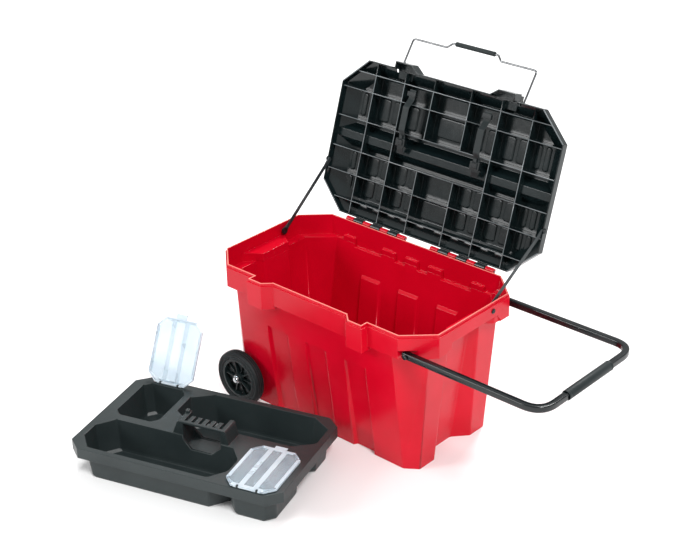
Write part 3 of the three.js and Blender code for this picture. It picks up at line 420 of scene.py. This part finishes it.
def block(bm, low, high, radius=1.0, draft=0.0, segments=3):
    """A moulded block between two corners, its top drawn in by the draft, edges rounded."""
    (x0, y0, z0), (x1, y1, z1) = low, high
    d = draft
    corners = [
        (x0, y0, z0), (x1, y0, z0), (x1, y1, z0), (x0, y1, z0),
        (x0 + d, y0 + d, z1), (x1 - d, y0 + d, z1), (x1 - d, y1 - d, z1), (x0 + d, y1 - d, z1),
    ]
    verts = [bm.verts.new(corner) for corner in corners]
    faces = []
    for loop in ((0, 3, 2, 1), (4, 5, 6, 7), (0, 1, 5, 4), (1, 2, 6, 5), (2, 3, 7, 6), (3, 0, 4, 7)):
        faces.append(bm.faces.new([verts[i] for i in loop]))
    edges = list({edge for face in faces for edge in face.edges})
    bevel(bm, edges, radius, segments)


def mark(bm, test):
    """Gives the second material to the faces whose centre and normal pass the test."""
    bm.normal_update()
    for face in bm.faces:
        if test(face.calc_center_median(), face.normal):
            face.material_index = 1


def is_upright(edge):
    run = edge.verts[1].co - edge.verts[0].co
    return abs(run.z) > 0.9 * run.length


def refined(
    name, node, material, body, width, matrix=AT_REST, shortest=5.0, second=None, test=None
):
    """A CAD node's shape with its moulded edges rounded."""
    bm = node_bmesh(node, matrix)
    bevel(bm, creases(bm, shortest, 28.0), width, 2)
    if test:
        mark(bm, test)
    return finish_mesh(name, bm, material, body, [node], matrix, flat_faces=True, second=second)


def dress(node, material):
    """Gives a CAD node that keeps its shape its own material."""
    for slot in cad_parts[node].material_slots:
        slot.material = material


# ---------------------------------------------------------------- chest


def build_chest():
    bm = node_bmesh("chest_body")
    bevel(bm, creases(bm, 90.0, 20.0, is_upright), 3.5, 4)
    bevel(bm, creases(bm, 5.0, 30.0), 0.9, 2)
    # The lip's top edge gets the lighter red: a painted highlight.
    mark(bm, on_lip_painted_highlight)
    finish_mesh(
        "chest_shell", bm, RED, "chest", ["chest_body"], flat_faces=True, second=RED_PAINTED_HIGHLIGHT
    )
    dress("hinge_pin_left", STEEL)
    dress("hinge_pin_right", STEEL)
    dress("axle", STEEL)
    dress("wheel_spacer_front", FITTING)
    dress("wheel_spacer_rear", FITTING)


def on_lip_painted_highlight(spot, normal):
    """The rounded upper edge of the rim's lip, where a lighter red is painted on as a highlight."""
    return spot.z > 435.0 and normal.z > 0.3


def build_tow_rivets():
    profile = [
        (164.0, 4.6), (165.0, 5.0), (207.8, 5.0), (208.0, 7.4), (208.6, 8.0), (209.4, 8.0),
        (210.3, 7.1), (210.9, 5.2), (211.0, 3.4), (210.5, 3.0), (210.4, 0.4),
    ]
    for side, word in ((-1.0, "front"), (1.0, "rear")):
        bm = bmesh.new()
        lathe(bm, profile, 32, along_y(TOW_X, 0.0, TOW_Z, side))
        finish_mesh(f"tow_rivet_head_{word}", bm, COATED, "chest", [f"tow_rivet_{word}"])


# ---------------------------------------------------------------- lid


def build_lid():
    # The ribs' free edges get the lighter grey: a painted highlight.
    refined(
        "lid_moulding", "lid_shell", BLACK, "lid", 0.7, LID_MATRIX, 6.0,
        second=BLACK_PAINTED_HIGHLIGHT, test=on_rib_painted_highlight,
    )


def on_rib_painted_highlight(spot, normal):
    """The free edges of the ribs inside the lid, where a lighter grey is painted on as a highlight."""
    inside = abs(spot.x) < 368.0 and -190.0 < spot.y < 212.0
    return inside and spot.z < 440.0 and normal.z < -0.3


def pad_pairs():
    """Corner pairs of the raised pads moulded on the lid's inner face, in the closed lid."""
    face = 473.6
    columns = [(-341, -274), (-274, -168), (-168, -64), (64, 168), (168, 274), (274, 341)]
    rows = [(47, 103, 4.0), (117, 168, 4.5), (-126, -58, 4.0)]
    pads = []
    for x0, x1 in columns:
        middle = (x0 + x1) / 2.0
        reach = (x1 - x0) / 2.0 - 9.0
        for y0, y1, height in rows:
            gap = 5.0
            pads.append(((middle - reach, y0, face), (middle - gap, y1, face - height)))
            pads.append(((middle + gap, y0, face), (middle + reach, y1, face - height)))
    pads.append(((-46, 118, face), (46, 172, face - 5.0)))
    pads.append(((-46, -122, face), (46, -64, face - 6.0)))
    return pads


def build_lid_pads():
    bm = bmesh.new()
    for (x0, y0, z0), (x1, y1, z1) in pad_pairs():
        pad_block(bm, (x0, y0), (x1, y1), z0, z1, 3.0)
    for x in (-246, -196, -140, -92, -32, 32, 92, 140, 196, 246):
        pad_block(bm, (x - 17, 188.5), (x + 17, 203), 466.0, 461.0, 2.5)
    finish_mesh("lid_inner_pads", bm, BLACK, "lid", (), LID_MATRIX, flat_faces=True)


def pad_block(bm, near, far, base, top, draft):
    """A low pad on the lid's inner face: its corners cut, its sides drawn in towards the top."""
    (x0, y0), (x1, y1) = near, far
    rings = []
    for z, inset, cut in ((base, 0.0, 5.0), (top + 1.2, draft * 0.7, 4.6), (top, draft + 1.2, 4.0)):
        a0, a1, b0, b1 = x0 + inset, x1 - inset, y0 + inset, y1 - inset
        outline = (
            (a0 + cut, b0), (a1 - cut, b0), (a1, b0 + cut), (a1, b1 - cut),
            (a1 - cut, b1), (a0 + cut, b1), (a0, b1 - cut), (a0, b0 + cut),
        )
        rings.append([Vector((x, y, z)) for x, y in outline])
    skin(bm, rings)


def build_hold_straps():
    top, low, half = 436.7, 417.0, 1.25
    route = [
        (-176, top - half), (-150, top - half), (-126, low + half), (-60, low + half),
        (-44, top - 8 - half), (-10, top - 8 - half), (6, top - half),
    ]
    for x, word in ((-132.0, "left"), (132.0, "right")):
        bm = bmesh.new()
        corners = [Vector((x, y, z)) for y, z in route]
        belt(bm, rounded_route(corners, 9.0, 6), Vector((1, 0, 0)), 21.5, 2.4, 0.35, 4.0)
        finish_mesh(
            f"hold_belt_{word}", bm, RUBBER, "lid", [f"hold_strap_{word}"], LID_MATRIX,
            flat_faces=True,
        )
        build_buckle(x, word)
        refined(
            f"hold_anchor_block_{word}", f"hold_anchor_{word}", FITTING, "lid", 0.9,
            LID_MATRIX, 3.0,
        )


def build_buckle(x, word):
    """The belt's cam buckle: a frame round the belt and a ridged thumb lever on it."""
    bm = node_bmesh(f"hold_buckle_{word}", LID_MATRIX)
    bevel(bm, creases(bm, 3.0, 28.0), 1.0, 3)
    block(bm, (x - 11, -35, 422.8), (x + 11, -17, 419.4), 1.3, 1.2)
    for i in range(5):
        y = -33.0 + 3.0 * i
        block(bm, (x - 8.5, y, 419.8), (x + 8.5, y + 1.5, 418.6), 0.35, 0.2, 2)
    block(bm, (x - 5, -46, 424.5), (x + 5, -34, 421.6), 1.0, 0.6)
    finish_mesh(
        f"hold_buckle_frame_{word}", bm, FITTING, "lid", [f"hold_buckle_{word}"],
        LID_MATRIX, flat_faces=True,
    )


# ---------------------------------------------------------------- bail


def bail_radial(distance):
    return BAIL_Y - distance * math.cos(BAIL_TILT), BAIL_Z + distance * math.sin(BAIL_TILT)


def build_bail():
    route = [
        (-184, 0), (-214, 0), (-214, 99.6), (-94, 99.6), (-78, 115),
        (78, 115), (94, 99.6), (214, 99.6), (214, 0), (184, 0),
    ]
    corners = [Vector((x, *bail_radial(d))) for x, d in route]
    normal = Vector((0, math.sin(BAIL_TILT), math.cos(BAIL_TILT)))
    bm = bmesh.new()
    sweep(bm, rounded_route(corners, 9.0, 10), round_outline(3.0, 20), normal)
    finish_mesh("bail_bent_wire", bm, STEEL, "bail", ["bail_wire"], LID_MATRIX)

    end = [(-68.0, 3.2), (-68.0, 5.6), (-67.2, 6.6), (-66.0, 7.0), (-60.5, 7.0), (-59.6, 6.2), (-58.4, 6.2)]
    body = [(-57.6, 6.8)]
    for i in range(28):
        along = -56.0 + 4.0 * i
        body += [(along, 6.9), (along + 2.2, 6.9), (along + 2.8, 6.45), (along + 3.4, 6.45)]
    body += [(57.6, 6.8)]
    profile = end + body + [(-along, radius) for along, radius in reversed(end)]
    bm = bmesh.new()
    lathe(bm, profile, 28, Matrix.Translation(Vector((0.0, *bail_radial(115)))))
    finish_mesh("bail_ribbed_grip", bm, RUBBER, "bail", ["bail_grip"], LID_MATRIX)


# ---------------------------------------------------------------- lid stays


def build_stays():
    """Flexible straps that hold the lid open, with a moulded eye on a button at each end."""
    for side, word in ((-1.0, "left"), (1.0, "right")):
        foot = Vector((side * STAY_X, STAY_FOOT.x, STAY_FOOT.y))
        head = Vector((side * STAY_HEAD_X, STAY_HEAD.x, STAY_HEAD.y))
        direction = (head - foot).normalized()
        across = Vector((1, 0, 0)).cross(direction).normalized()
        bm = bmesh.new()
        route = [foot - direction * 5, foot.lerp(head, 0.5), head + direction * 3]
        belt(bm, route, across, 13.0, 2.0, 0.12, 3.0, 5.0, 26.0)
        strap = finish_mesh(f"stay_strap_{word}", bm, STRAP, None, (), flat_faces=True)
        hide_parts(f"stay_{word}_lower", f"stay_{word}_upper", f"stay_{word}_rivet")
        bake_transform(strap)

        eye = [(-2.4, 4.0), (-2.9, 9.0), (-2.2, 10.4), (2.2, 10.4), (2.9, 9.0), (3.1, 3.0), (2.6, 0.4)]
        outside = Matrix.Rotation(0.0 if side > 0 else math.pi, 4, "Z")
        bm = bmesh.new()
        lathe(bm, [(-3.0, 0.4)] + eye, 32, Matrix.Translation(foot) @ outside)
        lathe(bm, button_profile(371.0, 384.2, 3.0, 7.0, 3.6), 32, place_along_x(outside, STAY_FOOT))
        finish_mesh(
            f"stay_foot_button_{word}", bm, FITTING, "chest", [f"stay_{word}_foot_button"]
        )

        bm = bmesh.new()
        at_button = place_along_x(outside, LID_BUTTON)
        lathe(bm, button_profile(381.3, 387.4, 3.0, 7.5, 4.1), 32, at_button)
        washer = [(381.3, 0.4), (381.3, 4.6), (381.7, 5.3), (383.0, 5.3), (383.4, 4.6), (383.4, 0.4)]
        lathe(bm, washer, 28, at_button)
        finish_mesh(
            f"stay_lid_button_{word}_head", bm, FITTING, "lid", [f"stay_{word}_lid_button"],
            LID_MATRIX,
        )


def button_profile(inner, face, shank, head, rise):
    """A shank and a domed head with a dimple, along +X from the inner end."""
    return [
        (inner, 0.4), (inner, shank - 0.3), (inner + 0.4, shank), (face, shank), (face + 0.05, head - 0.5),
        (face + 0.6, head), (face + rise * 0.45, head), (face + rise * 0.85, head - 1.4),
        (face + rise, head - 3.4), (face + rise - 0.5, head - 4.2), (face + rise - 0.7, 0.4),
    ]


def place_along_x(turn, spot):
    """Puts a lathed part whose axis is X at (y, z), turned to the outside of its side."""
    return Matrix.Translation(Vector((0.0, spot.x, spot.y))) @ turn


# ---------------------------------------------------------------- towing handle


def build_tow_handle():
    left, right = TOW_X - 8.0, TOW_X + TOW_REACH
    corners = [
        Vector((left, -TOW_Y, TOW_Z)), Vector((right, -TOW_Y, TOW_Z)),
        Vector((right, TOW_Y, TOW_Z)), Vector((left, TOW_Y, TOW_Z)),
    ]
    bm = bmesh.new()
    sweep(bm, rounded_route(corners, 56.0, 20), square_outline(TOW_HALF, 3.0), Vector((0, 0, 1)))
    finish_mesh("tow_bent_tube", bm, COATED, "tow_handle", ["tow_tube"])

    near, far = -97.0, 89.0
    sleeve = [
        (near + 1.0, 11.3), (near + 0.3, 11.7), (near, 12.3), (near + 0.4, 12.9), (near + 1.4, 13.35),
        (near + 3.0, 13.5),
        (near + 7.0, 13.5), (near + 7.6, 13.2), (near + 8.6, 13.2), (near + 9.2, 13.45),
        (far - 9.2, 13.45), (far - 8.6, 13.2), (far - 7.6, 13.2), (far - 7.0, 13.5),
        (far - 3.0, 13.5), (far - 1.4, 13.35), (far - 0.4, 12.9), (far, 12.3), (far - 0.3, 11.7),
        (far - 1.0, 11.3),
    ]
    bm = bmesh.new()
    lathe(bm, sleeve, 48, along_y(right, 0.0, TOW_Z), closed=True)
    finish_mesh("tow_foam_grip", bm, RUBBER, "tow_handle", ["tow_grip"])

    for side, word in ((-1.0, "front"), (1.0, "rear")):
        y = side * TOW_Y
        bm = bmesh.new()
        for x0, x1, half in ((left - 2.0, left - 0.3, TOW_HALF), (left - 1.0, left + 1.8, 6.3)):
            block(bm, (x0, y - half, TOW_Z - half), (x1, y + half, TOW_Z + half), 0.5)
        finish_mesh(f"tow_end_plug_{word}", bm, FITTING, "tow_handle", [f"tow_plug_{word}"])


# ---------------------------------------------------------------- wheels


def tyre_profile():
    """Closed outline of (across, radius): bead, sidewall ridges, shoulders and a grooved tread."""
    half = [
        (12.2, 60.3), (13.0, 63.0), (13.9, 64.2), (13.9, 65.6), (13.2, 66.6), (13.6, 69.5), (14.8, 71.5),
        (15.0, 73.5), (14.6, 76.0), (13.4, 78.6), (11.6, 80.2), (9.6, 81.0), (7.4, 81.4),
        (7.2, 79.6), (5.8, 79.6), (5.6, 81.7), (1.4, 82.0), (1.2, 80.0),
    ]
    return half + [(-across, radius) for across, radius in reversed(half)]


def build_wheels():
    cap = [
        (0.0, 6.2), (0.0, 10.3), (0.6, 11.0), (2.2, 11.0), (2.8, 10.0), (3.2, 9.4), (6.4, 9.0),
        (8.2, 7.9), (9.3, 5.6), (9.7, 3.0), (9.8, 0.4),
    ]
    for side, word in ((-1.0, "front"), (1.0, "rear")):
        place = along_y(WHEEL_X, side * 206.0, WHEEL_Z, side)
        body = f"wheel_{word}"
        bm = bmesh.new()
        lathe(bm, tyre_profile(), 112, place, closed=True)
        finish_mesh(f"tyre_ring_{word}", bm, TYRE, body, [f"tyre_{word}"])

        bm = bmesh.new()
        hub_shape(bm, place)
        finish_mesh(f"hub_spoked_{word}", bm, HUB, body, [f"wheel_hub_{word}"])

        bm = bmesh.new()
        lathe(bm, cap, 36, along_y(WHEEL_X, side * 221.2, WHEEL_Z, side))
        finish_mesh(f"axle_dome_{word}", bm, CHROME, "chest", [f"axle_cap_{word}"])


def hub_shape(bm, place):
    """Rim ring, dished web, hollow core and ten radial ribs, about the wheel's axis."""
    rim = [
        (-13.0, 52.6), (-13.0, 59.4), (-12.4, 60.0), (12.4, 60.0), (13.0, 59.4), (13.0, 53.4),
        (12.2, 52.4), (-12.2, 52.0),
    ]
    web = [(-4.0, 14.0), (-1.0, 14.0), (1.6, 30.0), (0.0, 53.0), (-3.0, 53.0), (-1.6, 30.0)]
    core = [
        (-14.0, 6.2), (-14.0, 13.6), (-13.2, 14.6), (12.6, 15.0), (14.0, 13.8), (14.0, 9.0),
        (13.4, 8.4), (13.4, 6.2),
    ]
    for outline in (rim, web, core):
        lathe(bm, outline, 80, place, closed=True)
    for i in range(10):
        main = i % 2 == 0
        turn = Matrix.Rotation(2.0 * math.pi * i / 10 + 0.3, 4, "X")
        thickness = 2.0 if main else 1.2
        front = 9.6 if main else 6.6
        rib = [
            (thickness, 13.0, front + 1.4), (thickness, 30.0, front), (thickness, 53.2, front - 1.4),
            (thickness, 53.2, -9.0), (thickness, 13.0, -9.0),
        ]
        rings = []
        for share, inset in ((-1.0, 0.5), (-0.62, 0.0), (0.62, 0.0), (1.0, 0.5)):
            ring = []
            for k, (t, radius, across) in enumerate(rib):
                drop = inset if k < 3 else -inset
                ring.append(place @ turn @ Vector((across - drop, share * t, radius)))
            rings.append(ring)
        skin(bm, rings)


# ---------------------------------------------------------------- tray


def build_tray():
    bm = node_bmesh("tray_body", TRAY_MATRIX)
    bevel(bm, creases(bm, 40.0, 24.0, is_upright), 4.5, 4)
    bevel(bm, creases(bm, 6.0, 30.0), 1.5, 3)
    knob = [
        (137.0, 0.4), (137.0, 6.4), (138.2, 7.0), (143.6, 6.8), (145.0, 5.8), (145.4, 3.6),
        (144.6, 3.0), (144.6, 0.4),
    ]
    upright = Matrix.Translation(Vector((-58.0, 18.0, 0.0))) @ Matrix.Rotation(math.radians(-90.0), 4, "Y")
    lathe(bm, knob, 28, upright)
    finish_mesh(
        "tray_moulding", bm, TRAY_BLACK, "tray", ["tray_body"], TRAY_MATRIX, flat_faces=True
    )
    dress("bin_pin_left", FITTING)
    dress("bin_pin_right", FITTING)


def build_bin_lids():
    """Octagonal lids: a frosted border and two bars stand round three clearer panes."""
    for word, (x, hinge_y) in BIN_PLACE.items():
        turned = math.pi if word == "left" else 0.0
        opened = BIN_LID_OPEN if word == "left" else 0.0
        matrix = (
            TRAY_MATRIX
            @ Matrix.Translation(Vector((x, hinge_y, BIN_HINGE_Z)) * MM)
            @ Matrix.Rotation(turned, 4, "Z")
            @ Matrix.Rotation(opened, 4, "X")
        )
        bm = node_bmesh(f"bin_lid_{word}", matrix)
        bevel(bm, creases(bm, 3.0, 28.0), 0.5, 2)
        mark(bm, in_pane)
        finish_mesh(
            f"bin_cover_{word}", bm, CLEAR, f"bin_lid_{word}_body", [f"bin_lid_{word}"],
            matrix, flat_faces=True, second=PANE,
        )


def in_pane(spot, _normal):
    """The faces of a bin lid's three recessed panes."""
    across = abs(spot.x)
    in_middle = across < 13.0
    at_side = 27.0 < across < 62.0
    return (in_middle or at_side) and 8.5 < spot.y < 174.5 and spot.z > 0.0


build_chest()
build_tow_rivets()
build_lid()
build_lid_pads()
build_hold_straps()
build_bail()
build_stays()
build_tow_handle()
build_wheels()
build_tray()
build_bin_lids()


# ---------------------------------------------------------------- floor, light and camera


def build_stage():
    mesh = bpy.data.meshes.new("studio_floor")
    half = 20.0  # metres, so that its edge is out of view from every side
    corners = [(-half, -half, 0), (half, -half, 0), (half, half, 0), (-half, half, 0)]
    mesh.from_pydata(corners, [], [(0, 1, 2, 3)])
    floor = bpy.data.objects.new("studio_floor", mesh)
    bpy.context.scene.collection.objects.link(floor)
    floor.location.z = -0.0005
    material, shader, _ = new_material("studio_floor")
    shader.inputs["Base Color"].default_value = (0.93, 0.93, 0.93, 1.0)
    shader.inputs["Roughness"].default_value = 0.9
    mesh.materials.append(material)


def soft_light(name, towards, spread, strength):
    """A far soft box: light that comes evenly from the given direction."""
    data = bpy.data.lights.new(name, "SUN")
    data.angle = math.radians(spread)
    data.energy = strength
    light = bpy.data.objects.new(name, data)
    light.rotation_euler = Vector(towards).to_track_quat("Z", "Y").to_euler()
    bpy.context.scene.collection.objects.link(light)


def build_camera():
    azimuth, elevation, roll = math.radians(42.4742), math.radians(27.4858), math.radians(-1.12354)
    level = math.cos(elevation)
    back = Vector((math.sin(azimuth) * level, -math.cos(azimuth) * level, math.sin(elevation)))
    right = Vector((0, 0, 1)).cross(back).normalized()
    up = back.cross(right)
    turned_right = right * math.cos(roll) + up * math.sin(roll)
    turned_up = up * math.cos(roll) - right * math.sin(roll)
    data = bpy.data.cameras.new("camera")
    data.lens = 77.76
    data.sensor_width = 36.0
    data.clip_end = 30.0
    camera = bpy.data.objects.new("camera", data)
    rotation = Matrix((turned_right, turned_up, back)).transposed().to_4x4()
    camera.matrix_world = Matrix.Translation((2.42967, -2.70604, 2.298)) @ rotation
    bpy.context.scene.collection.objects.link(camera)
    bpy.context.scene.camera = camera


build_stage()
soft_light("key", (0.75, -0.35, 1.0), 16.0, 2.1)
soft_light("fill", (-0.7, -1.0, 0.55), 20.0, 1.2)
soft_light("back", (-0.3, 0.8, 1.1), 16.0, 2.0)
world = bpy.data.worlds.new("studio")
world.use_nodes = True
world.node_tree.nodes["Background"].inputs["Color"].default_value = (1, 1, 1, 1)
world.node_tree.nodes["Background"].inputs["Strength"].default_value = 0.6
bpy.context.scene.world = world
bpy.context.scene.view_settings.view_transform = "Standard"
build_camera()
